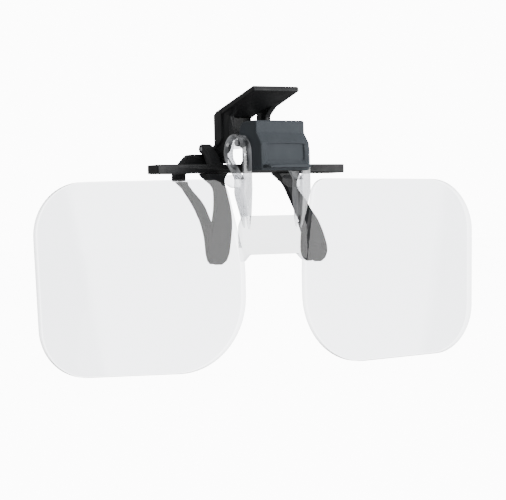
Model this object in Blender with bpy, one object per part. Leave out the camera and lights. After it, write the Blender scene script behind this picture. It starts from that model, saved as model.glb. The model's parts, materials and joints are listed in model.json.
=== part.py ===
"""Clip-on flip-up lenses: a clear lens pair hinged on a sprung spectacle clip.

The origin lies midway between the closed rubber pads. +X is to the right of
someone facing the front, +Y points to the wearer and +Z up. Every named size
is in millimetres, and MM turns it into metres when a mesh is made.
"""
import math

import bmesh
import bpy
from mathutils import Vector

MM = 0.001
GAP = 0.1               # between pieces held face to face
RUN = 0.05              # radial clearance of a turning fit
ARC_STEP = math.radians(15)
SHARP_ANGLE = math.radians(35)

# Front jaw: crossbar, tongue under the housing, ears for the jaw pin
BAR_HALF = 24.8
BAR_FRONT = 3.75
BAR_REAR = 9.35
BAR_TOP = 20.0
BAR_BOTTOM = 18.0
BAR_REAR_RADIUS = 1.3
BAR_RECESS = 0.15       # shallow step under the bar between the two brow rests
BAR_RECESS_HALF = 15.2
TONGUE_HALF = 5.0
TONGUE_FRONT = -8.1
TONGUE_BOTTOM = 18.25
TONGUE_TOP = 19.2
EAR_INNER = 6.3
EAR_OUTER = 9.0
EAR_RADIUS = 1.1

# Joint axes, both along X, as (y, z)
FLIP_AXIS = (-1.75, 24.5)
JAW_AXIS = (12.0, 23.8)
FLIP_AXLE_RADIUS = 0.8
JAW_PIN_RADIUS = 0.6
JAW_PIN_INNER = 2.6

# Hinge housing
HOUSING_HALF = 6.4
HOUSING_WALL = 1.2
HOUSING_TOP = 29.2
HOUSING_BOTTOM = 18.1
HOUSING_FACE = -9.45
HOUSING_BROW = -7.55
HOUSING_REAR = -0.35
HOUSING_NOTCH_REAR = -3.4
HOUSING_NOTCH_TOP = 23.0
LIP_HALF = 5.65
LIP_FRONT = -11.55
LIP_TOP = 19.35
LIP_BOTTOM = 18.7
PANEL_HALF = 4.95
PANEL_BOTTOM = 20.2
PANEL_TOP = 24.0
PANEL_DEPTH = 0.3

# Lens pair
LENS_CENTRE_X = 32.8
LENS_CENTRE_Z = -4.6
LENS_APEX_Y = -4.8
LENS_RADIUS_ACROSS = 260.0
LENS_RADIUS_UP = 140.0
LENS_WRAP = 0.036       # slope of each lens towards the temple
LENS_THICK = 3.0
LENS_EDGE_DROP = 1.0
LENS_EDGE_CHAMFER = 0.25
LENS_RINGS = 7
LENS_CORNERS = (        # x, z and corner radius, from the nasal top corner
    (11.8, 16.5, 4.0),
    (57.7, 16.0, 11.5),
    (56.3, -24.8, 11.0),
    (7.9, -25.9, 16.0),
    (7.9, -2.0, 24.0),
)
BRIDGE_TOP = 8.3
BRIDGE_BOTTOM = -0.3
BRIDGE_FRONT = -4.45
BRIDGE_REAR = -2.55
BRIDGE_LEG = 1.2        # fillet leg down each lens under the bridge
BRIDGE_STEP_Z = 5.3
BRIDGE_HALF = 7.8
BRIDGE_HALF_TOP = 6.45

# Hinge arms of the lens pair
ARM_INNER = 6.6
ARM_OUTER = 8.75
LOOP_CENTRE = (-1.8, 22.2)
LOOP_RADIUS = 4.2
LOOP_WALL = 0.6
WEB_WIDTH = 0.8
ARM_FOOT = 5.4
ARM_TAPER_TOP = 13.8    # below this the arm thins to its foot
ARM_FOOT_OUTER = 7.3
NUB_INNER = 6.9         # stop nub that meets the prong when the lenses hang down
NUB_OUTER = 8.6

# Rear jaw: thumb lever, yoke and feet
TAB_HALF = 6.0
TAB_THICK = 1.2
TAB_FRONT = (-6.15, 36.9)
TAB_BEND = (10.75, 32.0)
WALL_INNER = 4.15
WALL_OUTER = 5.55
WALL_FRONT = 5.05
FLANGE_INNER = 5.4
FLANGE_OUTER = 6.1
FLANGE_FRONT = 7.6
FLANGE_BOTTOM = 24.6
BACK_FRONT = 9.6
BACK_REAR = 10.75
BACK_BOTTOM = 20.4
ARCH_RADIUS = 3.3
ARCH_CENTRE_Z = 22.8
SLOT_INNER = 3.2
SLOT_FRONT = 8.7
SLOT_BOTTOM = 25.2
TAB_SLOT_FRONT = 6.4
YOKE_FRONT = 12.3
YOKE_REAR = 14.2
YOKE_TOP = 22.6
FOOT_INNER = 12.9
FOOT_OUTER = 15.5
FOOT_BOTTOM = 16.5

# Prongs and pads: pads meet at y = 0, prongs carry them
PAD_THICK = 0.85
PRONG_THICK = 1.0
PAD_TOP = 6.8
PAD_BOTTOM = -1.9

# Torsion springs, one on the inner end of each jaw pin
SPRING_INNER = 2.8
SPRING_OUTER = 3.9
SPRING_RADIUS = 0.9
SPRING_WIRE = 0.18
SPRING_TURNS = 2.5
SPRING_STEPS = 12

# Friction leaf in the housing, pressing on the flip axle
LEAF_HALF = 3.5


# --- scene and materials ---------------------------------------------------

def clear_scene():
    for item in list(bpy.data.objects):
        bpy.data.objects.remove(item, do_unlink=True)


def make_material(name, colour, roughness, metallic=0.0, alpha=1.0):
    material = bpy.data.materials.new(name)
    material.use_nodes = True
    shader = material.node_tree.nodes["Principled BSDF"]
    shader.inputs["Base Color"].default_value = (*colour, 1.0)
    shader.inputs["Roughness"].default_value = roughness
    shader.inputs["Metallic"].default_value = metallic
    shader.inputs["Alpha"].default_value = alpha
    material.diffuse_color = (*colour, alpha)
    return material


def make_empty(name, axis):
    empty = bpy.data.objects.new(name, None)
    empty.location = (0.0, axis[0] * MM, axis[1] * MM)
    bpy.context.collection.objects.link(empty)
    return empty


# --- shape helpers ---------------------------------------------------------

def add_object(name, mesh, material=None):
    item = bpy.data.objects.new(name, mesh)
    bpy.context.collection.objects.link(item)
    if material is not None:
        mesh.materials.append(material)
    return item


def finish_mesh(name, solid, material=None):
    bmesh.ops.recalc_face_normals(solid, faces=solid.faces)
    mesh = bpy.data.meshes.new(name)
    solid.to_mesh(mesh)
    solid.free()
    mesh.shade_smooth()
    mesh.set_sharp_from_angle(angle=SHARP_ANGLE)
    return add_object(name, mesh, material)


def place(axis, u, v, along):
    """World point in metres of plane coordinates (u, v) at a distance along an axis."""
    if axis == "X":
        return Vector((along, u, v)) * MM
    if axis == "Y":
        return Vector((u, along, v)) * MM
    return Vector((u, v, along)) * MM


def prism(name, outline, axis, low, high, material=None):
    """A closed outline extruded along an axis from low to high."""
    solid = bmesh.new()
    ring = [solid.verts.new(place(axis, u, v, low)) for u, v in outline]
    face = solid.faces.new(ring)
    extruded = bmesh.ops.extrude_face_region(solid, geom=[face])
    top = [part for part in extruded["geom"] if isinstance(part, bmesh.types.BMVert)]
    shift = place(axis, 0.0, 0.0, high - low)
    bmesh.ops.translate(solid, verts=top, vec=shift)
    return finish_mesh(name, solid, material)


def loft(name, sections, material=None):
    """Closed solid through rings of points, each ring with the same count."""
    solid = bmesh.new()
    rings = [[solid.verts.new(Vector(point) * MM) for point in section] for section in sections]
    count = len(rings[0])
    for lower, upper in zip(rings, rings[1:]):
        for i in range(count):
            j = (i + 1) % count
            solid.faces.new((lower[i], lower[j], upper[j], upper[i]))
    solid.faces.new(rings[0])
    solid.faces.new(rings[-1])
    return finish_mesh(name, solid, material)


def arc(centre, radius, start, end):
    """Points on an arc from start to end, in degrees, both included."""
    sweep = math.radians(end - start)
    steps = max(1, round(abs(sweep) / ARC_STEP))
    points = []
    for i in range(steps + 1):
        angle = math.radians(start) + sweep * i / steps
        points.append((centre[0] + radius * math.cos(angle), centre[1] + radius * math.sin(angle)))
    return points


def round_corners(corners):
    """Outline of (u, v, radius) corners with each corner turned into a tangent arc."""
    points = []
    for i, (u, v, radius) in enumerate(corners):
        here = Vector((u, v))
        before = (Vector(corners[i - 1][:2]) - here).normalized()
        after = (Vector(corners[(i + 1) % len(corners)][:2]) - here).normalized()
        if radius == 0.0:
            points.append((u, v))
            continue
        half = before.angle(after) / 2
        centre = here + (before + after).normalized() * radius / math.sin(half)
        first = here + before * radius / math.tan(half) - centre
        last = here + after * radius / math.tan(half) - centre
        sweep = math.pi - 2 * half
        steps = max(2, round(sweep / ARC_STEP))
        turn = 1.0 if first.x * last.y - first.y * last.x > 0 else -1.0
        start = math.atan2(first.y, first.x)
        for k in range(steps + 1):
            angle = start + turn * sweep * k / steps
            points.append((centre.x + radius * math.cos(angle), centre.y + radius * math.sin(angle)))
    return points


def circle(centre, radius):
    return arc(centre, radius, 0, 345)


def rod(name, centre, radius, half, material=None):
    """Round bar along X, centred on the symmetry plane."""
    return prism(name, circle(centre, radius), "X", -half, half, material)


def both_sides(low, high):
    """The two X spans of a pair of mirrored walls."""
    return ((-high, -low), (low, high))


def add_bevel(item, width, segments=2):
    bevel = item.modifiers.new("bevel", "BEVEL")
    bevel.width = width * MM
    bevel.segments = segments
    bevel.limit_method = "ANGLE"
    bevel.angle_limit = SHARP_ANGLE


def combine(item, tool, operation):
    """Boolean with the exact solver; the tool stays hidden from renders."""
    tool.hide_render = True
    tool.display_type = "WIRE"
    boolean = item.modifiers.new(tool.name, "BOOLEAN")
    boolean.operation = operation
    boolean.object = tool
    boolean.solver = "EXACT"


def join(item, tool):
    combine(item, tool, "UNION")


def cut(item, tool):
    combine(item, tool, "DIFFERENCE")


def smooth_value(table, z):
    """Smooth value at height z of a table of (z, value...) rows, highest row first."""
    last = len(table) - 1
    if z >= table[0][0]:
        return table[0][1:]
    if z <= table[last][0]:
        return table[last][1:]
    i = next(k for k in range(last) if table[k + 1][0] <= z)
    t = (table[i][0] - z) / (table[i][0] - table[i + 1][0])
    before, start = table[max(i - 1, 0)], table[i]
    end, after = table[i + 1], table[min(i + 2, last)]
    values = []
    for p0, p1, p2, p3 in zip(before[1:], start[1:], end[1:], after[1:]):
        pull = (p2 - p0) * t + (2 * p0 - 5 * p1 + 4 * p2 - p3) * t * t
        values.append(p1 + 0.5 * (pull + (3 * p1 - p0 - 3 * p2 + p3) * t ** 3))
    return tuple(values)


def heights(top, bottom, count):
    return [top + (bottom - top) * i / (count - 1) for i in range(count)]


# --- front jaw -------------------------------------------------------------

def make_front_crossbar(material):
    plan = round_corners((
        (-BAR_HALF, BAR_FRONT, 0.3),
        (BAR_HALF, BAR_FRONT, 0.3),
        (BAR_HALF, BAR_REAR, BAR_REAR_RADIUS),
        (-BAR_HALF, BAR_REAR, BAR_REAR_RADIUS),
    ))
    bar = prism("front_crossbar", plan, "Z", BAR_BOTTOM, BAR_TOP, material)
    add_bevel(bar, 0.2)
    recess = (
        (BAR_FRONT - 1.0, BAR_BOTTOM - 1.0),
        (BAR_REAR + 1.0, BAR_BOTTOM - 1.0),
        (BAR_REAR + 1.0, BAR_BOTTOM + BAR_RECESS),
        (BAR_FRONT - 1.0, BAR_BOTTOM + BAR_RECESS),
    )
    cut(bar, prism("recess_tool", recess, "X", -BAR_RECESS_HALF, BAR_RECESS_HALF))
    tongue_plan = round_corners((
        (-TONGUE_HALF, TONGUE_FRONT, 0.8),
        (TONGUE_HALF, TONGUE_FRONT, 0.8),
        (TONGUE_HALF, BAR_FRONT + 1.0, 0.0),
        (-TONGUE_HALF, BAR_FRONT + 1.0, 0.0),
    ))
    join(bar, prism("tongue_tool", tongue_plan, "Z", TONGUE_BOTTOM, TONGUE_TOP))
    for low, high in both_sides(EAR_INNER, EAR_OUTER):
        ear = prism("ear_tool", ear_outline(), "X", low, high)
        add_bevel(ear, 0.3)
        join(bar, ear)
    cut(bar, rod("jaw_bore_tool", JAW_AXIS, JAW_PIN_RADIUS + RUN, EAR_OUTER + 1.0))
    return bar


def ear_outline():
    """Side view of an ear: rooted in the bar, round about the jaw pin."""
    root = [(6.6, BAR_TOP - 1.0), (9.1, BAR_TOP - 1.4), (10.9, 22.2)]
    return root + arc(JAW_AXIS, EAR_RADIUS, -75, 150) + [(9.0, 22.9)]


FRONT_PRONG = (         # z, inner x, outer x, front y, thickness in y
    (18.05, 6.5, 12.7, 4.1, 3.2),
    (17.0, 7.4, 12.2, 4.0, 2.6),
    (15.8, 7.9, 11.3, 3.3, 1.9),
    (14.4, 8.1, 11.0, 2.4, 1.6),
    (10.5, 8.4, 12.4, 0.4, 1.2),
    (7.0, 8.95, 14.0, -1.15, PRONG_THICK),
    (3.0, 9.8, 15.2, -1.9, PRONG_THICK),
    (0.2, 10.4, 15.7, -2.05, PRONG_THICK),
    (-1.6, 11.2, 15.0, -2.05, PRONG_THICK),
    (-2.3, 12.4, 14.0, -2.05, PRONG_THICK),
)


def prong_section(side, z, inner, outer, front, thick):
    rear = front + thick
    return [(side * x, y, z) for x, y in ((inner, front), (outer, front), (outer, rear), (inner, rear))]


def make_front_prong(side, name, material):
    stations = heights(FRONT_PRONG[0][0], FRONT_PRONG[-1][0], 25)
    sections = [prong_section(side, z, *smooth_value(FRONT_PRONG, z)) for z in stations]
    prong = loft(name, sections, material)
    add_bevel(prong, 0.25)
    if side > 0:
        dimple = prism("dimple_tool", dimple_outline(), "Y", -3.0, -1.75)
        cut(prong, dimple)
    return prong


def dimple_outline():
    """Small upright oval in the right prong."""
    return [(13.9 + 0.5 * (x - 13.9), z) for x, z in circle((13.9, 1.0), 0.85)]


def make_pad(side, name, is_front, material):
    """Rubber pad on the inner face of a prong; both pads follow the front prong's curve."""
    table = FRONT_PRONG if is_front else REAR_PRONG
    offset = GAP if is_front else 2 * GAP + PAD_THICK
    sections = []
    for z in heights(PAD_TOP, PAD_BOTTOM, 13):
        inner, outer = smooth_value(table, z)[:2]
        front, thick = smooth_value(FRONT_PRONG, z)[2:]
        start = front + thick + offset
        sections.append(prong_section(side, z, inner + 0.25, outer - 0.25, start, PAD_THICK))
    pad = loft(name, sections, material)
    add_bevel(pad, 0.2)
    return pad


# --- hinge housing ---------------------------------------------------------

def housing_outline():
    return round_corners((
        (HOUSING_FACE, HOUSING_BOTTOM, 0.5),
        (HOUSING_NOTCH_REAR, HOUSING_BOTTOM, 0.5),
        (HOUSING_NOTCH_REAR, HOUSING_NOTCH_TOP, 0.5),
        (HOUSING_REAR, HOUSING_NOTCH_TOP + 0.5, 0.8),
        (HOUSING_REAR, HOUSING_TOP, 2.4),
        (HOUSING_BROW, HOUSING_TOP, 0.5),
        (HOUSING_BROW, 26.5, 1.0),
        (HOUSING_FACE, 24.1, 1.2),
    ))


def make_housing(material):
    housing = prism("hinge_housing", housing_outline(), "X", -HOUSING_HALF, HOUSING_HALF, material)
    add_bevel(housing, 0.35)
    inside = HOUSING_HALF - HOUSING_WALL
    cavity = round_corners((
        (HOUSING_FACE + HOUSING_WALL, HOUSING_BOTTOM - 1.0, 0.0),
        (HOUSING_REAR + 1.0, HOUSING_BOTTOM - 1.0, 0.0),
        (HOUSING_REAR + 1.0, HOUSING_TOP - HOUSING_WALL, 0.0),
        (HOUSING_BROW + HOUSING_WALL, HOUSING_TOP - HOUSING_WALL, 0.5),
        (HOUSING_BROW + HOUSING_WALL, 26.1, 0.5),
        (HOUSING_FACE + HOUSING_WALL, 23.7, 0.5),
    ))
    cut(housing, prism("cavity_tool", cavity, "X", -inside, inside))
    lip = prism("lip_tool", lip_plan(), "Z", LIP_BOTTOM, LIP_TOP)
    join(housing, lip)
    panel = round_corners((
        (-PANEL_HALF, PANEL_BOTTOM, 0.7),
        (PANEL_HALF, PANEL_BOTTOM, 0.7),
        (PANEL_HALF, PANEL_TOP, 0.7),
        (-PANEL_HALF, PANEL_TOP, 0.7),
    ))
    cut(housing, prism("panel_tool", panel, "Y", HOUSING_FACE - 1.0, HOUSING_FACE + PANEL_DEPTH))
    cut(housing, rod("axle_bore_tool", FLIP_AXIS, FLIP_AXLE_RADIUS + RUN, HOUSING_HALF + 1.0))
    return housing


def lip_plan():
    return round_corners((
        (-LIP_HALF, LIP_FRONT, 0.6),
        (LIP_HALF, LIP_FRONT, 0.6),
        (LIP_HALF, HOUSING_FACE + 0.5, 0.0),
        (-LIP_HALF, HOUSING_FACE + 0.5, 0.0),
    ))


# --- lens pair -------------------------------------------------------------

def lens_front_y(x, z):
    """Front surface, bulging forward and wrapping back to the temple; x is unsigned."""
    across = x - LENS_CENTRE_X
    up = z - LENS_CENTRE_Z
    bulge = across ** 2 / (2 * LENS_RADIUS_ACROSS) + up ** 2 / (2 * LENS_RADIUS_UP)
    return LENS_APEX_Y + bulge + LENS_WRAP * across


def lens_thickness(x, z):
    spread = ((x - LENS_CENTRE_X) / 25.0) ** 2 + ((z - LENS_CENTRE_Z) / 21.0) ** 2
    return LENS_THICK - LENS_EDGE_DROP * spread


def make_lens(side, name, material):
    outline = round_corners(LENS_CORNERS)
    reach = max(math.hypot(x - LENS_CENTRE_X, z - LENS_CENTRE_Z) for x, z in outline)
    inset = 1.0 - LENS_EDGE_CHAMFER / reach
    scales = [inset * (i + 1) / LENS_RINGS for i in range(LENS_RINGS)]
    solid = bmesh.new()

    def ring(scale, depth):
        verts = []
        for x, z in outline:
            u = LENS_CENTRE_X + (x - LENS_CENTRE_X) * scale
            v = LENS_CENTRE_Z + (z - LENS_CENTRE_Z) * scale
            y = lens_front_y(u, v) + depth * lens_thickness(u, v)
            verts.append(solid.verts.new(Vector((side * u, y, v)) * MM))
        return verts

    def bridge(lower, upper):
        for i in range(len(lower)):
            j = (i + 1) % len(lower)
            solid.faces.new((lower[i], lower[j], upper[j], upper[i]))

    rings = [ring(scale, 0.0) for scale in scales]
    rings += [ring(1.0, 0.15), ring(1.0, 0.85)]
    rings += [ring(scale, 1.0) for scale in reversed(scales)]
    for lower, upper in zip(rings, rings[1:]):
        bridge(lower, upper)
    for cap in (rings[0], rings[-1]):
        solid.faces.new(cap)
    return finish_mesh(name, solid, material)


def make_bridge(material):
    half = [
        (BRIDGE_HALF_TOP, BRIDGE_TOP, 0.4),
        (BRIDGE_HALF_TOP, BRIDGE_STEP_Z, 0.0),
        (BRIDGE_HALF, BRIDGE_STEP_Z, 0.2),
        (BRIDGE_HALF, BRIDGE_BOTTOM - BRIDGE_LEG, 0.2),
        (BRIDGE_HALF - BRIDGE_LEG, BRIDGE_BOTTOM, 0.9),
    ]
    mirrored = [(-x, z, radius) for x, z, radius in reversed(half)]
    outline = round_corners(half + mirrored)
    bridge = prism("lens_bridge", outline, "Y", BRIDGE_FRONT, BRIDGE_REAR, material)
    add_bevel(bridge, 0.15)
    return bridge


def arm_outline():
    """Side view of a hinge arm: loop at the top, blade tapering to the bridge."""
    front = LOOP_CENTRE[0] - LOOP_RADIUS
    blade = round_corners([
        (front, 21.0, 0.0),
        (front, 14.0, 3.0),
        (-5.4, 8.6, 3.0),
        (BRIDGE_FRONT, ARM_FOOT, 0.2),
        (BRIDGE_REAR, ARM_FOOT, 0.2),
        (-1.5, 12.5, 4.0),
        (-1.9, 16.5, 1.5),
        (2.15, 20.7, 0.0),
    ])
    return blade[:-1] + arc(LOOP_CENTRE, LOOP_RADIUS, -20, 180)


def loop_opening():
    """Teardrop opening inside the loop."""
    inner = LOOP_RADIUS - LOOP_WALL
    front = LOOP_CENTRE[0] - inner
    return arc(LOOP_CENTRE, inner, -20, 180) + [(front, 17.4), (-4.5, 16.3), (-3.0, 16.3)]


def nub_outline():
    """Side view of the rounded stop nub behind the blade."""
    return round_corners([
        (-3.0, 14.6, 0.0),
        (0.4, 14.6, 1.2),
        (2.9, 15.6, 1.0),
        (2.9, 17.4, 0.7),
        (-0.6, 17.4, 0.6),
        (-3.0, 15.4, 0.0),
    ])


def make_arm(side, name, material):
    low, high = sorted((side * ARM_INNER, side * ARM_OUTER))
    arm = prism(name, arm_outline(), "X", low, high, material)
    cut(arm, prism("loop_tool", loop_opening(), "X", low - 1.0, high + 1.0))
    web_low, web_high = sorted((side * ARM_INNER, side * (ARM_INNER + WEB_WIDTH)))
    web = arc(LOOP_CENTRE, LOOP_RADIUS - LOOP_WALL / 2, 15, 165)
    join(arm, prism("web_tool", web, "X", web_low, web_high))
    nub_low, nub_high = sorted((side * NUB_INNER, side * NUB_OUTER))
    join(arm, prism("nub_tool", nub_outline(), "X", nub_low, nub_high))
    cut(arm, rod("arm_bore_tool", FLIP_AXIS, FLIP_AXLE_RADIUS + RUN, ARM_OUTER + 1.0))
    taper = [(side * x, z) for x, z in arm_taper()]
    cut(arm, prism("taper_tool", taper, "Y", -10.0, 5.0))
    return arm


def arm_taper():
    """Front view of the wedge taken off the outer side of an arm."""
    beyond = ARM_OUTER + 1.0
    return [
        (ARM_OUTER + 0.05, ARM_TAPER_TOP),
        (beyond, ARM_TAPER_TOP),
        (beyond, ARM_FOOT - 1.0),
        (ARM_FOOT_OUTER, ARM_FOOT - 1.0),
        (ARM_FOOT_OUTER, ARM_FOOT + 0.4),
    ]


# --- rear jaw --------------------------------------------------------------

def tab_outline():
    """Side view of the thumb tab and the bend where it turns down."""
    slope = (TAB_FRONT[1] - TAB_BEND[1]) / (TAB_BEND[0] - TAB_FRONT[0])
    angle = math.atan(slope)
    drop = TAB_THICK / math.cos(angle)
    nose = TAB_THICK * math.sin(angle)
    return round_corners((
        (TAB_FRONT[0], TAB_FRONT[1], 0.35),
        (TAB_FRONT[0] - nose, TAB_FRONT[1] - TAB_THICK * math.cos(angle), 0.35),
        (BACK_FRONT, TAB_BEND[1] - drop, 0.0),
        (BACK_REAR, TAB_BEND[1] - drop - 0.3, 0.0),
        (BACK_REAR, TAB_BEND[1], 1.1),
    ))


def wall_outline():
    """Side view of a lever wall, from under the tab to the jaw pin and yoke."""
    return round_corners((
        (1.0, 33.9, 0.0),
        (WALL_FRONT, 31.0, 0.8),
        (WALL_FRONT, 26.5, 1.5),
        (7.0, 23.1, 1.5),
        (9.2, 22.0, 0.5),
        (BACK_FRONT, BACK_BOTTOM, 0.4),
        (YOKE_FRONT + 0.5, BACK_BOTTOM, 0.0),
        (YOKE_FRONT + 0.5, 24.2, 0.6),
        (BACK_REAR, 25.3, 0.6),
        (BACK_REAR, 31.5, 0.0),
    ))


def yoke_outline():
    """Front view of the yoke: dips behind the bar, ends in two feet."""
    half = [
        (2.6, 19.9, 0.8),
        (4.2, YOKE_TOP, 0.8),
        (11.8, YOKE_TOP, 2.0),
        (FOOT_OUTER, 18.9, 1.8),
        (FOOT_OUTER, FOOT_BOTTOM, 0.5),
        (FOOT_INNER, FOOT_BOTTOM, 0.3),
        (FOOT_INNER, 18.35, 0.5),
    ]
    mirrored = [(-x, z, radius) for x, z, radius in reversed(half)]
    return round_corners(half + mirrored)


def flange_outline():
    """Side view of the shallow flange outside each lever wall."""
    return round_corners((
        (FLANGE_FRONT, 32.6, 0.0),
        (FLANGE_FRONT, 25.8, 1.0),
        (FLANGE_FRONT + 1.4, FLANGE_BOTTOM, 0.8),
        (BACK_REAR, FLANGE_BOTTOM, 0.3),
        (BACK_REAR, 31.4, 0.0),
    ))


def back_outline():
    """Front view of the back wall: two legs with a round arch between them."""
    edge = WALL_INNER + 0.3
    top = [(edge, TAB_BEND[1] - 1.0), (-edge, TAB_BEND[1] - 1.0)]
    left_leg = [(-edge, BACK_BOTTOM), (-ARCH_RADIUS, BACK_BOTTOM)]
    right_leg = [(ARCH_RADIUS, BACK_BOTTOM), (edge, BACK_BOTTOM)]
    return top + left_leg + arc((0.0, ARCH_CENTRE_Z), ARCH_RADIUS, 180, 0) + right_leg


def make_rear_lever(material):
    lever = prism("rear_lever", tab_outline(), "X", -TAB_HALF, TAB_HALF, material)
    add_bevel(lever, 0.3)
    back = prism("back_tool", back_outline(), "Y", BACK_FRONT, BACK_REAR)
    join(lever, back)
    for low, high in both_sides(WALL_INNER, WALL_OUTER):
        join(lever, prism("wall_tool", wall_outline(), "X", low, high))
    for low, high in both_sides(FLANGE_INNER, FLANGE_OUTER):
        join(lever, prism("flange_tool", flange_outline(), "X", low, high))
    join(lever, prism("yoke_tool", yoke_outline(), "Y", YOKE_FRONT, YOKE_REAR))
    for low, high in both_sides(SLOT_INNER, FLANGE_INNER):
        cut(lever, prism("slot_tool", slot_outline(), "X", low, high))
    for low, high in both_sides(SLOT_INNER, WALL_INNER):
        cut(lever, prism("tab_slot_tool", tab_slot_outline(), "X", low, high))
    cut(lever, rod("lever_bore_tool", JAW_AXIS, JAW_PIN_RADIUS + RUN, WALL_OUTER + 1.0))
    return lever


def tab_slot_outline():
    """Side view of the slot where it runs on into the tab beside each wall."""
    bottom = TAB_BEND[1] - 2.0
    top = TAB_BEND[1] + 3.0
    rear = SLOT_FRONT + 0.2
    return [(TAB_SLOT_FRONT, top), (TAB_SLOT_FRONT, bottom), (rear, bottom), (rear, top)]


def slot_outline():
    """Side view of the mould slot through the back wall and the bend of the tab."""
    top = TAB_BEND[1] + 2.0
    rear = BACK_REAR + 1.0
    return [(SLOT_FRONT, top), (SLOT_FRONT, SLOT_BOTTOM), (rear, SLOT_BOTTOM), (rear, top)]


REAR_PRONG = (          # z, inner x, outer x, front y, thickness in y
    (16.4, 13.0, 15.4, 11.0, 2.4),
    (15.2, 13.3, 15.2, 9.5, 1.5),
    (11.4, 12.6, 15.2, 5.2, 1.4),
    (8.2, 12.6, 15.1, 2.6, 1.3),
    (6.8, 12.2, 14.9, 2.0, 1.1),
    (4.0, 11.1, 14.6, 1.35, PRONG_THICK),
    (0.0, 10.7, 14.4, 1.0, PRONG_THICK),
    (-1.5, 11.3, 14.0, 1.0, PRONG_THICK),
    (-2.2, 12.2, 13.4, 1.0, PRONG_THICK),
)


def make_rear_prong(side, name, material):
    stations = heights(REAR_PRONG[0][0], REAR_PRONG[-1][0], 25)
    sections = [prong_section(side, z, *smooth_value(REAR_PRONG, z)) for z in stations]
    prong = loft(name, sections, material)
    add_bevel(prong, 0.25)
    return prong


# --- pins and spring -------------------------------------------------------

def make_pin(name, axis, radius, low, high, material):
    pin = prism(name, circle(axis, radius), "X", low, high, material)
    add_bevel(pin, 0.15)
    return pin


def spring_path(side):
    """One leg on the bar, a coil round the jaw pin, one leg over and behind the yoke."""
    points = [(side * SPRING_INNER, BAR_REAR - 0.5, BAR_TOP + SPRING_WIRE + GAP)]
    count = round(SPRING_TURNS * SPRING_STEPS)
    for i in range(count + 1):
        angle = math.radians(-110) - 2 * math.pi * i / SPRING_STEPS
        y = JAW_AXIS[0] + SPRING_RADIUS * math.cos(angle)
        z = JAW_AXIS[1] + SPRING_RADIUS * math.sin(angle)
        x = SPRING_INNER + (SPRING_OUTER - SPRING_INNER) * i / count
        points.append((side * x, y, z))
    behind = YOKE_REAR + SPRING_WIRE + GAP
    points.append((side * SPRING_OUTER, behind - 0.3, YOKE_TOP + 0.8))
    points.append((side * SPRING_OUTER, behind, YOKE_TOP))
    points.append((side * SPRING_OUTER, behind, YOKE_TOP - 1.6))
    return points


def make_spring(side, name, material):
    curve = bpy.data.curves.new(name, "CURVE")
    curve.dimensions = "3D"
    curve.bevel_depth = SPRING_WIRE * MM
    curve.bevel_resolution = 1
    curve.use_fill_caps = True
    points = spring_path(side)
    spline = curve.splines.new("POLY")
    spline.points.add(len(points) - 1)
    for target, point in zip(spline.points, points):
        target.co = (*(Vector(point) * MM), 1.0)
    return add_object(name, curve, material)


def make_leaf(material):
    """Bent steel strip: foot on the tongue, free end under the flip axle."""
    strip = round_corners((
        (-4.6, 19.3, 0.0),
        (-8.05, 19.3, 0.5),
        (-8.05, 22.75, 0.5),
        (-1.2, 23.67, 0.0),
        (-1.2, 23.42, 0.0),
        (-7.8, 22.53, 0.25),
        (-7.8, 19.55, 0.25),
        (-4.6, 19.55, 0.0),
    ))
    return prism("friction_leaf", strip, "X", -LEAF_HALF, LEAF_HALF, material)


# --- assembly --------------------------------------------------------------

def attach(empty, items):
    """Parent moving pieces to the empty on their joint axis; nothing shifts."""
    for item in items:
        item.parent = empty
        item.location = -empty.location


def build():
    clear_scene()
    black = make_material("black_plastic", (0.012, 0.013, 0.015), 0.38)
    grey = make_material("housing_plastic", (0.07, 0.08, 0.09), 0.5)
    rubber = make_material("pad_rubber", (0.02, 0.02, 0.022), 0.75)
    clear = make_material("clear_acrylic", (0.96, 0.97, 0.98), 0.03, alpha=0.35)
    steel = make_material("steel", (0.55, 0.56, 0.58), 0.3, metallic=1.0)

    make_front_crossbar(black)
    make_housing(grey)
    make_leaf(steel)

    axle_half = ARM_INNER + WEB_WIDTH + 0.6
    axle = make_pin("flip_axle", FLIP_AXIS, FLIP_AXLE_RADIUS, -axle_half, axle_half, steel)
    lens_items = [make_bridge(clear), axle]
    rear_items = [make_rear_lever(black)]
    for side, label in ((-1, "left"), (1, "right")):
        low, high = sorted((side * JAW_PIN_INNER, side * (EAR_OUTER - 0.1)))
        make_pin("jaw_pin_" + label, JAW_AXIS, JAW_PIN_RADIUS, low, high, steel)
        make_spring(side, "torsion_spring_" + label, steel)
        make_front_prong(side, "front_prong_" + label, black)
        make_pad(side, "front_pad_" + label, True, rubber)
        lens_items.append(make_lens(side, "lens_" + label, clear))
        lens_items.append(make_arm(side, "hinge_arm_" + label, clear))
        rear_items.append(make_rear_prong(side, "rear_prong_" + label, black))
        rear_items.append(make_pad(side, "rear_pad_" + label, False, rubber))
    attach(make_empty("flip_axis", FLIP_AXIS), lens_items)
    attach(make_empty("jaw_axis", JAW_AXIS), rear_items)


build()
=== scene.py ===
"""Studio picture of the clip-on flip lenses.

The frame holds the CAD nodes in metres: +X right, +Y to the wearer, +Z up, origin
between the closed pads. This script replaces the clear nodes by one continuous
moulding, gives the springs legs that move with their jaws, rounds the shading of
the other nodes, and gives everything its material. Sizes of the object are in
millimetres and angles in degrees, unless a comment says otherwise.
"""
import json
import math

import bmesh
import bpy
from mathutils import Matrix, Vector


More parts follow.
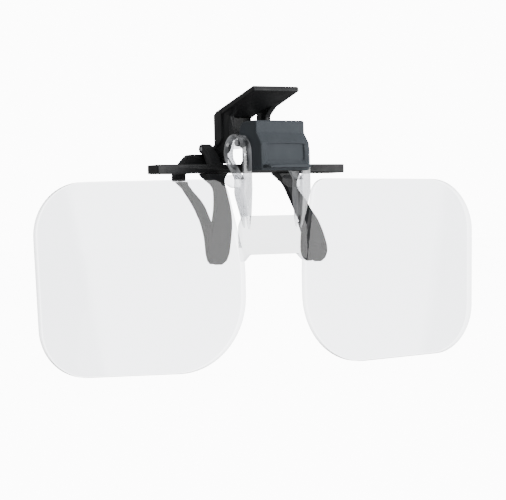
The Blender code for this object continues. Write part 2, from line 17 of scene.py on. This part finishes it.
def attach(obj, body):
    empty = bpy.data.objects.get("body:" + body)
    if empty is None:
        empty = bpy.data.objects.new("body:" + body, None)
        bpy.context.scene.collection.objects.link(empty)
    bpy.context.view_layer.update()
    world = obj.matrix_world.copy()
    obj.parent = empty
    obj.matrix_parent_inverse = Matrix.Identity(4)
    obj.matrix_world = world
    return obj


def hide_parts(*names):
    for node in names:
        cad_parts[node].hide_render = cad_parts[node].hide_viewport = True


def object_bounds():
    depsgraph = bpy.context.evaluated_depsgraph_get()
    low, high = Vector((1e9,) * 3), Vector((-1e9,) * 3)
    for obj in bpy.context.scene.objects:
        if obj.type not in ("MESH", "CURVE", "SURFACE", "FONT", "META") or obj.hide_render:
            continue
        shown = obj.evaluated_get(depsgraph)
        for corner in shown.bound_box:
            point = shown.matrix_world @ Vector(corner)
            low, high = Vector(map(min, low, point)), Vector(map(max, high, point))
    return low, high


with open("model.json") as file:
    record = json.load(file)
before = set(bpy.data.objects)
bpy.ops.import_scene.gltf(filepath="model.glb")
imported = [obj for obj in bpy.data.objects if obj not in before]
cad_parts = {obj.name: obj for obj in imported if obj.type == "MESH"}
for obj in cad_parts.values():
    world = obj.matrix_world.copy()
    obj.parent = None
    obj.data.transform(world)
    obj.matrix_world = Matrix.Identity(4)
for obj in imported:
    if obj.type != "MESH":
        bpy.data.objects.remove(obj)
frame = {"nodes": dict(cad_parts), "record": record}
CAD_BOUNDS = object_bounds()

MM = 0.001
ARC_STEP = math.radians(5)      # radians
SHARP_ANGLE = math.radians(38)  # radians
WELD = 1e-6                     # metres
OVERSHOOT = 1.0                 # how far a cutting tool stands out of what it cuts

# Camera, set to the photograph's viewing angle
CAMERA_POS = (-221.802, -349.909, 5.594)
CAMERA_YAW = 32.0
CAMERA_PITCH = 0.68
CAMERA_ROLL = -1.41
CAMERA_LENS = 131.6

# Light: a white backdrop for camera rays, a dim room for all others, three soft boxes
BACKDROP = 12.0
ROOM_LIGHT = 0.3
ROOM_GLOSS = 0.4
SOFT_BOXES = (          # name, azimuth, elevation, distance, width and height in metres, radiance
    ("key_box", 34.5, 0.0, 0.6, 0.5, 0.75, 5.0),
    ("top_box", -10.0, 75.0, 0.7, 0.5, 0.4, 1.0),
    ("low_box", 10.0, -60.0, 0.6, 0.5, 0.4, 3.4),
)
FLOOR_GLOW = 11.5
FLOOR_DROP = 4.0
FLOOR_HALF = 3.0        # metres

# Lens surfaces: the same design as the CAD lenses, with finer steps
LENS_CENTRE_X = 32.8
LENS_CENTRE_Z = -4.6
LENS_APEX_Y = -4.8
LENS_RADIUS_ACROSS = 260.0
LENS_RADIUS_UP = 140.0
LENS_WRAP = 0.036
LENS_THICK = 3.0
LENS_EDGE_DROP = 1.0    # thickness lost at LENS_HALF_WIDE or LENS_HALF_HIGH from the centre
LENS_HALF_WIDE = 25.0
LENS_HALF_HIGH = 21.0
LENS_EDGE_ROUND = 0.35
LENS_RINGS = 14
EDGE_STEPS = 4
LENS_CORNERS = (        # x, z and corner radius, from the nasal top corner
    (11.8, 16.5, 4.0),
    (57.7, 16.0, 11.5),
    (56.3, -24.8, 11.0),
    (7.9, -25.9, 16.0),
    (7.9, -2.0, 24.0),
)

# Painted shade: a darker band along each lens's temple edge, where the key light's reflection on the
# lens ends
TEMPLE_START = 46.0
TEMPLE_BLUR = 1.6
TEMPLE_LEAN = -0.2
# share of the passed colour that the painted shade leaves
TEMPLE_PAINTED_SHADE = 0.94

# Bridge
BRIDGE_FRONT = -4.45
BRIDGE_REAR = -2.55
BRIDGE_BEVEL = 0.3
BRIDGE_HALF = (         # x, z and corner radius of the right half, from the top
    (7.6, 8.3, 0.5),
    (8.6, 6.1, 0.6),
    (8.6, -2.1, 0.2),
    (7.7, -1.5, 0.3),
    (6.5, -0.3, 0.9),
)

# Hinge arms, with the loop, its pane, the stop nub and the bore for the flip axle
LOOP_CENTRE = (-1.8, 22.2)
LOOP_RADIUS = 4.2
LOOP_WALL = 0.6
LOOP_ARC = (-20, 180)
LOOP_TIP = ((-5.4, 17.4), (-4.5, 16.3), (-3.0, 16.3))
ARM_INNER = 6.6
ARM_OUTER = 8.75
ARM_BEVEL = 0.2
ARM_BLADE = (           # y, z and corner radius, down the front and up the back
    (-6.0, 21.0, 0.0),
    (-6.0, 14.0, 3.0),
    (-5.4, 8.6, 3.0),
    (-4.35, 5.0, 0.3),
    (-2.65, 5.0, 0.3),
    (-1.5, 12.5, 4.0),
    (-1.9, 16.5, 1.5),
    (2.15, 20.7, 0.0),
)
ARM_TAPER = (           # x and z of the wedge taken off the outer side
    (8.8, 13.8),
    (9.75, 13.8),
    (9.75, 4.0),
    (7.05, 4.0),
    (7.05, 5.4),
)
ARM_TAPER_DEPTH = (-10.0, 5.0)
PANE_INNER = 6.65
PANE_OUTER = 7.4
PANE_ARC = (15, 165)
NUB_INNER = 6.9
NUB_OUTER = 8.6
NUB_BEVEL = 0.35
NUB_OUTLINE = (         # y, z and corner radius
    (-3.0, 14.6, 0.0),
    (0.4, 14.6, 1.2),
    (2.9, 15.6, 1.0),
    (2.9, 17.4, 0.7),
    (-0.6, 17.4, 0.6),
    (-3.0, 15.4, 0.0),
)
FLIP_AXIS = (-1.75, 24.5)
AXLE_HOLE = 0.85

# Torsion springs round the jaw pins
JAW_AXIS = (12.0, 23.8)
SPRING_INNER = 2.8
SPRING_OUTER = 3.9
SPRING_RADIUS = 0.9
SPRING_WIRE = 0.18
SPRING_LEG_WIRE = 0.1746        # a little thinner, so that no two surfaces coincide
SPRING_TURNS = 2.5
SPRING_FIXED_TURNS = 2.4
SPRING_FREE_START = 2.05
SPRING_START = -110.0
SPRING_STEPS = 32
BAR_LEG_END = (8.85, 20.28)
YOKE_LEG_POINTS = ((14.18, 23.4), (14.48, 22.6), (14.48, 21.0))

# Nodes that other pieces than a refined copy stand for
REPLACED = ("lens_", "hinge_arm_", "torsion_spring_")

# Finishes of the clear moulding, as sheet_acrylic takes them
SOFT_GREY = (0.8, 0.81, 0.82)
LENS_FACE_FINISH = {
    "through": (0.67, 0.676, 0.688),
    "rim": (0.45, 0.47, 0.49),
    "haze": 0.05,
    "sheen": 1.2,
    # painted shade band along the temple edge
    "temple": True,
}
LENS_RIM_FINISH = {
    "through": (0.84, 0.845, 0.85),
    "rim": (0.01, 0.012, 0.015),
    "haze": 0.03,
    "sheen": 2.5,
}
BRIDGE_FINISH = {
    "through": (0.61, 0.615, 0.62),
    "rim": (0.3, 0.32, 0.34),
    "haze": 0.08,
}
ARM_FINISH = {
    "through": (0.45, 0.455, 0.47),
    "rim": (0.02, 0.025, 0.03),
    "haze": 0.22,
    "haze_colour": (0.88, 0.9, 0.93),
    # painted glow: the arms emit a little light, standing in for light gathered from the pale
    # surroundings
    "glow": 0.4,
    "streaks": 0.8,
    "sheen": 2.6,
}
NUB_FINISH = {
    "through": (0.8, 0.805, 0.82),
    "rim": (0.08, 0.09, 0.1),
    "haze": 0.03,
    "sheen": 2.0,
}


# --- node material helpers -------------------------------------------------

class Nodes:
    """A material's node tree with short calls for adding and linking nodes.

    Noise scales are per metre and bump distances in metres, as the nodes take them.
    """

    def __init__(self, name):
        self.material = bpy.data.materials.new(name)
        self.material.use_nodes = True
        self.tree = self.material.node_tree
        self.shader = self.tree.nodes["Principled BSDF"]
        self.coords = self.tree.nodes.new("ShaderNodeTexCoord").outputs["Object"]

    def set(self, **values):
        for label, value in values.items():
            self.shader.inputs[label.replace("_", " ")].default_value = value

    def add(self, kind, **values):
        node = self.tree.nodes.new(kind)
        for label, value in values.items():
            node.inputs[label].default_value = value
        return node

    def link(self, source, target):
        self.tree.links.new(source, target)

    def feed(self, label, source):
        """Drive an input of the main shader."""
        self.link(source, self.shader.inputs[label])

    def noise(self, scale, detail=4.0, roughness=0.5, vector=None):
        node = self.add("ShaderNodeTexNoise", Scale=scale, Detail=detail, Roughness=roughness)
        self.link(vector or self.coords, node.inputs["Vector"])
        return node.outputs["Fac"]

    def flow_noise(self, streaks):
        """Cloudy noise, drawn out upright where the moulding shows streaks."""
        stretch = self.tree.nodes.new("ShaderNodeMapping")
        if streaks > 0.0:
            stretch.inputs["Scale"].default_value = (18.0, 18.0, 3.0)
        self.link(self.coords, stretch.inputs["Vector"])
        return self.noise(scale=35.0, detail=3.0, vector=stretch.outputs["Vector"])

    def remap(self, source, low, high, start=0.35, end=0.65):
        """Stretch start..end to low..high; the default range holds most of a noise."""
        node = self.tree.nodes.new("ShaderNodeMapRange")
        node.inputs["From Min"].default_value = start
        node.inputs["From Max"].default_value = end
        node.inputs["To Min"].default_value = low
        node.inputs["To Max"].default_value = high
        self.link(source, node.inputs["Value"])
        return node.outputs["Result"]

    def math(self, operation, first, second):
        """second is a number or a socket."""
        node = self.tree.nodes.new("ShaderNodeMath")
        node.operation = operation
        self.link(first, node.inputs[0])
        if isinstance(second, float):
            node.inputs[1].default_value = second
        else:
            self.link(second, node.inputs[1])
        return node.outputs["Value"]

    def mix_colour(self, factor, first, second):
        node = self.tree.nodes.new("ShaderNodeMix")
        node.data_type = "RGBA"
        node.inputs["A"].default_value = (*first, 1.0)
        node.inputs["B"].default_value = (*second, 1.0)
        self.link(factor, node.inputs["Factor"])
        return node.outputs["Result"]

    def scale_colour(self, colour, factor):
        node = self.tree.nodes.new("ShaderNodeVectorMath")
        node.operation = "SCALE"
        self.link(colour, node.inputs["Vector"])
        self.link(factor, node.inputs["Scale"])
        return node.outputs["Vector"]

    def mix_shader(self, factor, first, second):
        node = self.tree.nodes.new("ShaderNodeMixShader")
        self.link(factor, node.inputs["Fac"])
        self.link(first, node.inputs[1])
        self.link(second, node.inputs[2])
        return node.outputs["Shader"]

    def bump(self, height, strength, distance):
        node = self.add("ShaderNodeBump", Strength=strength, Distance=distance)
        self.link(height, node.inputs["Height"])
        return node.outputs["Normal"]

    def output(self, shader):
        self.link(shader, self.tree.nodes["Material Output"].inputs["Surface"])


def moulded_plastic(name, dark, light, roughness, grain, gloss):
    """Opaque moulded plastic: fine grain, slight tone and gloss variation."""
    nodes = Nodes(name)
    tone = nodes.remap(nodes.noise(scale=160.0, detail=3.0), 0.0, 1.0)
    nodes.feed("Base Color", nodes.mix_colour(tone, dark, light))
    matt = nodes.noise(scale=420.0)
    nodes.feed("Roughness", nodes.remap(matt, roughness - 0.05, roughness + 0.07))
    nodes.set(IOR=1.5, Specular_IOR_Level=gloss)
    texture = nodes.noise(scale=grain, detail=5.0, roughness=0.65)
    nodes.feed("Normal", nodes.bump(texture, strength=0.35, distance=0.00003))
    return nodes.material


def rubber_material():
    nodes = Nodes("pad_rubber_fine")
    tone = nodes.remap(nodes.noise(scale=300.0), 0.0, 1.0)
    nodes.feed("Base Color", nodes.mix_colour(tone, (0.017, 0.017, 0.018), (0.023, 0.023, 0.024)))
    nodes.set(Roughness=0.8, Specular_IOR_Level=0.3)
    texture = nodes.noise(scale=2600.0, detail=3.0)
    nodes.feed("Normal", nodes.bump(texture, strength=0.15, distance=0.00001))
    return nodes.material


def steel_material():
    nodes = Nodes("steel_ground")
    tone = nodes.remap(nodes.noise(scale=900.0), 0.0, 1.0)
    nodes.feed("Base Color", nodes.mix_colour(tone, (0.48, 0.49, 0.51), (0.62, 0.63, 0.65)))
    nodes.feed("Roughness", nodes.remap(nodes.noise(scale=1500.0), 0.22, 0.36))
    nodes.set(Metallic=1.0)
    texture = nodes.noise(scale=4000.0)
    nodes.feed("Normal", nodes.bump(texture, strength=0.2, distance=0.00001))
    return nodes.material


def painted_temple_shade(nodes, colour):
    """Colour passed by a lens, darker in a band along its temple edge: painted shade where the key
    light's reflection on the lens ends.
    """
    split = nodes.tree.nodes.new("ShaderNodeSeparateXYZ")
    nodes.link(nodes.coords, split.inputs["Vector"])
    across = nodes.math("ABSOLUTE", split.outputs["X"], 0.0)
    lean = nodes.math("MULTIPLY", split.outputs["Z"], TEMPLE_LEAN)
    start = TEMPLE_START * MM
    end = (TEMPLE_START + TEMPLE_BLUR) * MM
    # painted shade: the passed colour darkens past the band's start across the lens, where the key
    # light's reflection ends
    shade = nodes.remap(nodes.math("ADD", across, lean), 1.0, TEMPLE_PAINTED_SHADE, start, end)
    return nodes.scale_colour(colour, shade)


def sheet_acrylic(name, through, rim, haze, haze_colour=SOFT_GREY, glow=0.0, streaks=0.0,
                  sheen=1.0, temple=False):
    """Clear moulding without bending of light: part see-through, part soft haze.

    through is what passes one face seen square on, rim what passes at a grazing
    angle, haze the share of the face that scatters light, and glow a painted glow:
    emission standing in for the light that the moulding would gather from its pale
    surroundings. streaks varies the haze along the flow of the moulding, sheen raises
    the reflections of its rounded edges, and the last argument adds painted shade: a
    darker band along a lens's temple edge, where the key light's reflection ends.
    """
    nodes = Nodes(name)
    weight = nodes.add("ShaderNodeLayerWeight", Blend=0.5)
    grazing = nodes.math("POWER", weight.outputs["Facing"], 3.0)
    passed = nodes.mix_colour(grazing, through, rim)
    clear = nodes.tree.nodes.new("ShaderNodeBsdfTransparent")
    # on a lens, the painted shade band along the temple edge darkens the passed colour
    nodes.link(painted_temple_shade(nodes, passed) if temple else passed, clear.inputs["Color"])
    nodes.set(Base_Color=(*haze_colour, 1.0), Roughness=0.55, Specular_IOR_Level=0.0)
    # painted glow: emission in the haze colour, standing in for light gathered from the pale
    # surroundings
    nodes.set(Emission_Color=(*haze_colour, 1.0), Emission_Strength=glow)
    spread = 0.05 + streaks
    cloud = nodes.remap(nodes.flow_noise(streaks), haze * (1.0 - spread), haze * (1.0 + spread))
    body = nodes.mix_shader(cloud, clear.outputs["BSDF"], nodes.shader.outputs["BSDF"])

    gloss = nodes.add("ShaderNodeBsdfGlossy", Roughness=0.04)
    ripple = nodes.noise(scale=45.0, detail=2.0, roughness=0.4)
    nodes.link(nodes.bump(ripple, strength=0.08, distance=0.00003), gloss.inputs["Normal"])
    fresnel = nodes.add("ShaderNodeFresnel", IOR=1.49)
    geometry = nodes.tree.nodes.new("ShaderNodeNewGeometry")
    inside = nodes.math("MULTIPLY", geometry.outputs["Backfacing"], -1.0)
    outside = nodes.math("ADD", inside, 1.0)
    reflected = nodes.math("MULTIPLY", fresnel.outputs["Fac"], sheen)
    share = nodes.math("MULTIPLY", reflected, outside)
    nodes.output(nodes.mix_shader(share, body, gloss.outputs["BSDF"]))
    return nodes.material


# --- shape helpers ---------------------------------------------------------

def arc(centre, radius, start, end):
    """Points on an arc from start to end, in degrees, both included."""
    sweep = math.radians(end - start)
    steps = max(1, round(abs(sweep) / ARC_STEP))
    points = []
    for i in range(steps + 1):
        angle = math.radians(start) + sweep * i / steps
        points.append((centre[0] + radius * math.cos(angle), centre[1] + radius * math.sin(angle)))
    return points


def round_corners(corners):
    """Outline of (u, v, radius) corners with each corner turned into a tangent arc."""
    points = []
    for i, (u, v, radius) in enumerate(corners):
        here = Vector((u, v))
        if radius == 0.0:
            points.append((u, v))
            continue
        before = (Vector(corners[i - 1][:2]) - here).normalized()
        after = (Vector(corners[(i + 1) % len(corners)][:2]) - here).normalized()
        half = before.angle(after) / 2
        centre = here + (before + after).normalized() * radius / math.sin(half)
        first = here + before * radius / math.tan(half) - centre
        last = here + after * radius / math.tan(half) - centre
        sweep = math.pi - 2 * half
        steps = max(2, round(sweep / ARC_STEP))
        turn = 1.0 if first.x * last.y - first.y * last.x > 0 else -1.0
        start = math.atan2(first.y, first.x)
        for k in range(steps + 1):
            angle = start + turn * sweep * k / steps
            points.append((centre.x + radius * math.cos(angle), centre.y + radius * math.sin(angle)))
    return points


def span(side, inner, outer):
    """Lower and upper x of a stretch from inner to outer on one side."""
    return sorted((side * inner, side * outer))


def place(axis, u, v, along):
    """World point in metres of plane coordinates (u, v) at a distance along an axis."""
    if axis == "X":
        return Vector((along, u, v)) * MM
    return Vector((u, along, v)) * MM


def new_object(name, solid, material=None):
    """Object of a finished bmesh, shaded smooth up to the sharp angle."""
    bmesh.ops.recalc_face_normals(solid, faces=solid.faces)
    mesh = bpy.data.meshes.new(name)
    solid.to_mesh(mesh)
    solid.free()
    mesh.shade_smooth()
    mesh.set_sharp_from_angle(angle=SHARP_ANGLE)
    if material is not None:
        mesh.materials.append(material)
    item = bpy.data.objects.new(name, mesh)
    bpy.context.collection.objects.link(item)
    return item


def prism(name, outline, axis, low, high, material=None):
    """A closed outline extruded along an axis from low to high."""
    solid = bmesh.new()
    rings = [[solid.verts.new(place(axis, u, v, along)) for u, v in outline] for along in (low, high)]
    count = len(outline)
    for i in range(count):
        j = (i + 1) % count
        solid.faces.new((rings[0][i], rings[0][j], rings[1][j], rings[1][i]))
    for ring in rings:
        solid.faces.new(ring)
    return new_object(name, solid, material)


def add_weighted_normals(item):
    """Flat faces stay flat in the shading beside rounded edges."""
    weighted = item.modifiers.new("weighted_normals", "WEIGHTED_NORMAL")
    weighted.keep_sharp = True
    weighted.weight = 100


def add_bevel(item, width):
    bevel = item.modifiers.new("bevel", "BEVEL")
    bevel.width = width * MM
    bevel.segments = 3
    bevel.limit_method = "ANGLE"
    bevel.angle_limit = SHARP_ANGLE


def combine(item, tool, operation):
    """Add a boolean with tool to item; returns the tool, for bake to remove."""
    boolean = item.modifiers.new(tool.name, "BOOLEAN")
    boolean.operation = operation
    boolean.object = tool
    boolean.solver = "MANIFOLD"
    boolean.material_mode = "TRANSFER"
    return tool


def bake(item, name, tools):
    """A new object with item's evaluated mesh; item and its tools are removed."""
    bpy.context.view_layer.update()
    graph = bpy.context.evaluated_depsgraph_get()
    mesh = bpy.data.meshes.new_from_object(item.evaluated_get(graph))
    mesh.name = name
    for used in (item, *tools):
        bpy.data.objects.remove(used, do_unlink=True)
    mesh.shade_smooth()
    mesh.set_sharp_from_angle(angle=SHARP_ANGLE)
    baked = bpy.data.objects.new(name, mesh)
    bpy.context.collection.objects.link(baked)
    return baked


# --- clear moulding --------------------------------------------------------

def lens_front_y(x, z):
    """Front surface, bulging forward and wrapping back to the temple; x is unsigned."""
    across = x - LENS_CENTRE_X
    up = z - LENS_CENTRE_Z
    bulge = across ** 2 / (2 * LENS_RADIUS_ACROSS) + up ** 2 / (2 * LENS_RADIUS_UP)
    return LENS_APEX_Y + bulge + LENS_WRAP * across


def lens_thickness(x, z):
    across = (x - LENS_CENTRE_X) / LENS_HALF_WIDE
    up = (z - LENS_CENTRE_Z) / LENS_HALF_HIGH
    return LENS_THICK - LENS_EDGE_DROP * (across ** 2 + up ** 2)


def lens_profile(reach):
    """Pairs of (scale of the outline, depth share) from the front's middle to the back's."""
    flat = 1.0 - LENS_EDGE_ROUND / reach
    depth_round = LENS_EDGE_ROUND / (LENS_THICK - LENS_EDGE_DROP)
    front = [(flat * (i + 1) / LENS_RINGS, 0.0) for i in range(LENS_RINGS)]
    for k in range(1, EDGE_STEPS + 1):
        angle = 0.5 * math.pi * k / EDGE_STEPS
        scale = flat + (1.0 - flat) * math.sin(angle)
        front.append((scale, depth_round * (1.0 - math.cos(angle))))
    return front + [(scale, 1.0 - depth) for scale, depth in reversed(front)]


def make_lens(side, face, rim):
    """Closed lens; its faces round the edge take the rim material."""
    outline = round_corners(LENS_CORNERS)
    reach = max(math.hypot(x - LENS_CENTRE_X, z - LENS_CENTRE_Z) for x, z in outline)
    solid = bmesh.new()
    rings = []
    for scale, depth in lens_profile(reach):
        ring = []
        for x, z in outline:
            u = LENS_CENTRE_X + (x - LENS_CENTRE_X) * scale
            v = LENS_CENTRE_Z + (z - LENS_CENTRE_Z) * scale
            y = lens_front_y(u, v) + depth * lens_thickness(u, v)
            ring.append(solid.verts.new(Vector((side * u, y, v)) * MM))
        rings.append(ring)
    count = len(outline)
    for step, (lower, upper) in enumerate(zip(rings, rings[1:])):
        on_edge = abs(step + 1 - len(rings) / 2) < EDGE_STEPS
        for i in range(count):
            j = (i + 1) % count
            strip = solid.faces.new((lower[i], lower[j], upper[j], upper[i]))
            strip.material_index = 1 if on_edge else 0
    solid.faces.new(rings[0])
    solid.faces.new(rings[-1])
    lens = new_object("lens", solid, face)
    lens.data.materials.append(rim)
    return lens


def make_bridge(material):
    left_half = [(-x, z, radius) for x, z, radius in reversed(BRIDGE_HALF)]
    outline = round_corners([*BRIDGE_HALF, *left_half])
    bridge = prism("bridge", outline, "Y", BRIDGE_FRONT, BRIDGE_REAR, material)
    add_bevel(bridge, BRIDGE_BEVEL)
    return bridge


def arm_outline():
    """Side view of a hinge arm: loop at the top, blade tapering to the bridge."""
    blade = round_corners(ARM_BLADE)
    return blade[:-1] + arc(LOOP_CENTRE, LOOP_RADIUS, *LOOP_ARC)


def loop_opening():
    """Teardrop opening inside the loop."""
    return [*arc(LOOP_CENTRE, LOOP_RADIUS - LOOP_WALL, *LOOP_ARC), *LOOP_TIP]


def make_arm(side, finish):
    """Hinge arm: looped blade, a thin pane in the top of the loop and the stop nub."""
    low, high = span(side, ARM_INNER, ARM_OUTER)
    through = (low - OVERSHOOT, high + OVERSHOOT)
    arm = prism("arm", arm_outline(), "X", low, high, finish["arm"])
    opening = prism("opening", loop_opening(), "X", *through)
    taper = prism("taper", [(side * x, z) for x, z in ARM_TAPER], "Y", *ARM_TAPER_DEPTH)
    tools = [combine(arm, opening, "DIFFERENCE"), combine(arm, taper, "DIFFERENCE")]
    add_bevel(arm, ARM_BEVEL)
    pane_outline = arc(LOOP_CENTRE, LOOP_RADIUS - LOOP_WALL / 2, *PANE_ARC)
    pane = prism("pane", pane_outline, "X", *span(side, PANE_INNER, PANE_OUTER), finish["pane"])
    tools.append(combine(arm, pane, "UNION"))
    nub_outline = round_corners(NUB_OUTLINE)
    nub = prism("nub", nub_outline, "X", *span(side, NUB_INNER, NUB_OUTER), finish["nub"])
    add_bevel(nub, NUB_BEVEL)
    tools.append(combine(arm, nub, "UNION"))
    bore = prism("bore", arc(FLIP_AXIS, AXLE_HOLE, 0, 355), "X", *through)
    tools.append(combine(arm, bore, "DIFFERENCE"))
    return bake(arm, "arm_whole", tools)


def make_moulding(finish):
    """Both lenses, the bridge and both hinge arms as one body."""
    whole = make_lens(-1, finish["face"], finish["rim"])
    tools = [combine(whole, make_lens(1, finish["face"], finish["rim"]), "UNION")]
    tools.append(combine(whole, make_bridge(finish["bridge"]), "UNION"))
    for side in (-1, 1):
        tools.append(combine(whole, make_arm(side, finish), "UNION"))
    piece = bake(whole, "clear_lens_moulding", tools)
    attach(piece, "lens_pair")
    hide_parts("lens_left", "lens_right", "lens_bridge", "hinge_arm_left", "hinge_arm_right")


# --- springs ---------------------------------------------------------------

def coil_point(side, turn):
    """Point on a spring's helix after a number of turns from its inner end."""
    angle = math.radians(SPRING_START) - 2 * math.pi * turn
    x = SPRING_INNER + (SPRING_OUTER - SPRING_INNER) * turn / SPRING_TURNS
    y = JAW_AXIS[0] + SPRING_RADIUS * math.cos(angle)
    z = JAW_AXIS[1] + SPRING_RADIUS * math.sin(angle)
    return (side * x, y, z)


def coil(side, start, end):
    steps = round((end - start) * SPRING_STEPS)
    return [coil_point(side, start + (end - start) * i / steps) for i in range(steps + 1)]


def wire(name, points, radius, material, body, side_name):
    curve = bpy.data.curves.new(name, "CURVE")
    curve.dimensions = "3D"
    curve.bevel_depth = radius * MM
    curve.bevel_resolution = 3
    curve.use_fill_caps = True
    spline = curve.splines.new("POLY")
    spline.points.add(len(points) - 1)
    for target, point in zip(spline.points, points):
        target.co = (*(Vector(point) * MM), 1.0)
    spline.use_smooth = True
    curve.materials.append(material)
    piece = bpy.data.objects.new(name, curve)
    bpy.context.collection.objects.link(piece)
    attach(piece, body)
    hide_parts("torsion_spring_" + side_name)


def make_springs(material):
    """Each coil stays with the bar; its last part turns with the lever about the pin."""
    for side, label in ((-1, "left"), (1, "right")):
        bar_leg = [(side * SPRING_INNER, *BAR_LEG_END)]
        fixed = bar_leg + coil(side, 0.0, SPRING_FIXED_TURNS)
        wire("spring_coil_" + label, fixed, SPRING_WIRE, material, "front_jaw", label)
        yoke_leg = [(side * SPRING_OUTER, y, z) for y, z in YOKE_LEG_POINTS]
        free = coil(side, SPRING_FREE_START, SPRING_TURNS) + yoke_leg
        wire("spring_leg_" + label, free, SPRING_LEG_WIRE, material, "rear_jaw", label)


# --- carried-over nodes ----------------------------------------------------

def body_of(node):
    bodies = frame["record"]["behaviour"]["bodies"]
    return next(body for body, members in bodies.items() if node in members)


def refine(node, material):
    """A smooth-shaded copy of a node's own shape, standing for the node."""
    solid = bmesh.new()
    solid.from_mesh(frame["nodes"][node].data)
    bmesh.ops.remove_doubles(solid, verts=solid.verts, dist=WELD)
    piece = new_object(node + "_finish", solid, material)
    for face in piece.data.polygons:
        face.material_index = 0
    add_weighted_normals(piece)
    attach(piece, body_of(node))
    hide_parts(node)


def finish_nodes(by_slot):
    for entry in frame["record"]["subparts"]:
        if not entry["node"].startswith(REPLACED):
            refine(entry["node"], by_slot[entry["material_slot"]])


# --- stage -----------------------------------------------------------------

def add_camera():
    data = bpy.data.cameras.new("camera")
    camera = bpy.data.objects.new("camera", data)
    bpy.context.collection.objects.link(camera)
    data.lens = CAMERA_LENS
    data.sensor_width = 36.0
    data.clip_start = 0.01
    data.clip_end = 20.0
    turn = Matrix.Rotation(math.radians(-CAMERA_YAW), 4, "Z")
    level = Matrix.Rotation(math.radians(90.0 - CAMERA_PITCH), 4, "X")
    roll = Matrix.Rotation(math.radians(CAMERA_ROLL), 4, "Z")
    camera.matrix_world = Matrix.Translation(Vector(CAMERA_POS) * MM) @ turn @ level @ roll
    bpy.context.scene.camera = camera


def add_soft_box(name, azimuth, elevation, distance, width, height, radiance):
    """Rectangular soft box aimed at the origin; azimuth 0 is in front, 90 to the right."""
    data = bpy.data.lights.new(name, "AREA")
    data.shape = "RECTANGLE"
    data.size = width
    data.size_y = height
    data.energy = radiance * math.pi * width * height
    box = bpy.data.objects.new(name, data)
    bpy.context.collection.objects.link(box)
    side = math.radians(azimuth)
    rise = math.radians(elevation)
    out = Vector((math.sin(side) * math.cos(rise), -math.cos(side) * math.cos(rise), math.sin(rise)))
    box.location = out * distance
    box.rotation_mode = "QUATERNION"
    box.rotation_quaternion = (-out).to_track_quat("-Z", "Y")
    box.visible_camera = False


def add_world():
    """White backdrop behind everything seen directly; a much dimmer room lights the object."""
    world = bpy.data.worlds.new("studio")
    world.use_nodes = True
    tree = world.node_tree
    background = tree.nodes["Background"]
    background.inputs["Color"].default_value = (1.0, 1.0, 1.0, 1.0)
    path = tree.nodes.new("ShaderNodeLightPath")
    room = tree.nodes.new("ShaderNodeMix")
    room.inputs["A"].default_value = ROOM_LIGHT
    room.inputs["B"].default_value = ROOM_GLOSS
    tree.links.new(path.outputs["Is Glossy Ray"], room.inputs["Factor"])
    seen = tree.nodes.new("ShaderNodeMix")
    seen.inputs["B"].default_value = BACKDROP
    tree.links.new(room.outputs["Result"], seen.inputs["A"])
    tree.links.new(path.outputs["Is Camera Ray"], seen.inputs["Factor"])
    tree.links.new(seen.outputs["Result"], background.inputs["Strength"])
    bpy.context.scene.world = world


def add_floor():
    """Pale, softly glowing studio floor below the object."""
    low = CAD_BOUNDS[0]
    solid = bmesh.new()
    bmesh.ops.create_grid(solid, x_segments=1, y_segments=1, size=FLOOR_HALF)
    nodes = Nodes("pale_floor")
    tone = nodes.remap(nodes.noise(scale=3.0), 0.0, 1.0)
    nodes.feed("Base Color", nodes.mix_colour(tone, (0.88, 0.88, 0.88), (0.9, 0.9, 0.9)))
    nodes.set(Roughness=0.8, Specular_IOR_Level=0.0)
    nodes.set(Emission_Color=(1.0, 1.0, 1.0, 1.0), Emission_Strength=FLOOR_GLOW)
    floor = new_object("studio_floor", solid, nodes.material)
    floor.location = (0.0, 0.0, low.z - FLOOR_DROP * MM)
    floor.visible_diffuse = False
    floor.visible_glossy = False
    floor.visible_transmission = False


def make_finishes():
    """Materials of the clear moulding's parts."""
    bridge = sheet_acrylic("acrylic_bridge", **BRIDGE_FINISH)
    return {
        "face": sheet_acrylic("acrylic_lens_face", **LENS_FACE_FINISH),
        "rim": sheet_acrylic("acrylic_lens_rim", **LENS_RIM_FINISH),
        "bridge": bridge,
        "arm": sheet_acrylic("acrylic_arms", **ARM_FINISH),
        "pane": bridge,
        "nub": sheet_acrylic("acrylic_nubs", **NUB_FINISH),
    }


def main():
    add_camera()
    add_world()
    for settings in SOFT_BOXES:
        add_soft_box(*settings)
    add_floor()
    steel = steel_material()
    finish_nodes({
        "black_plastic": moulded_plastic(
            "black_plastic_satin", dark=(0.027, 0.028, 0.03), light=(0.035, 0.036, 0.038),
            roughness=0.5, grain=1500.0, gloss=0.3),
        "housing_plastic": moulded_plastic(
            "housing_plastic_fine", dark=(0.083, 0.095, 0.108), light=(0.093, 0.106, 0.12),
            roughness=0.62, grain=2200.0, gloss=0.15),
        "pad_rubber": rubber_material(),
        "steel": steel,
        "spring_steel": steel,
    })
    make_moulding(make_finishes())
    make_springs(steel)


main()
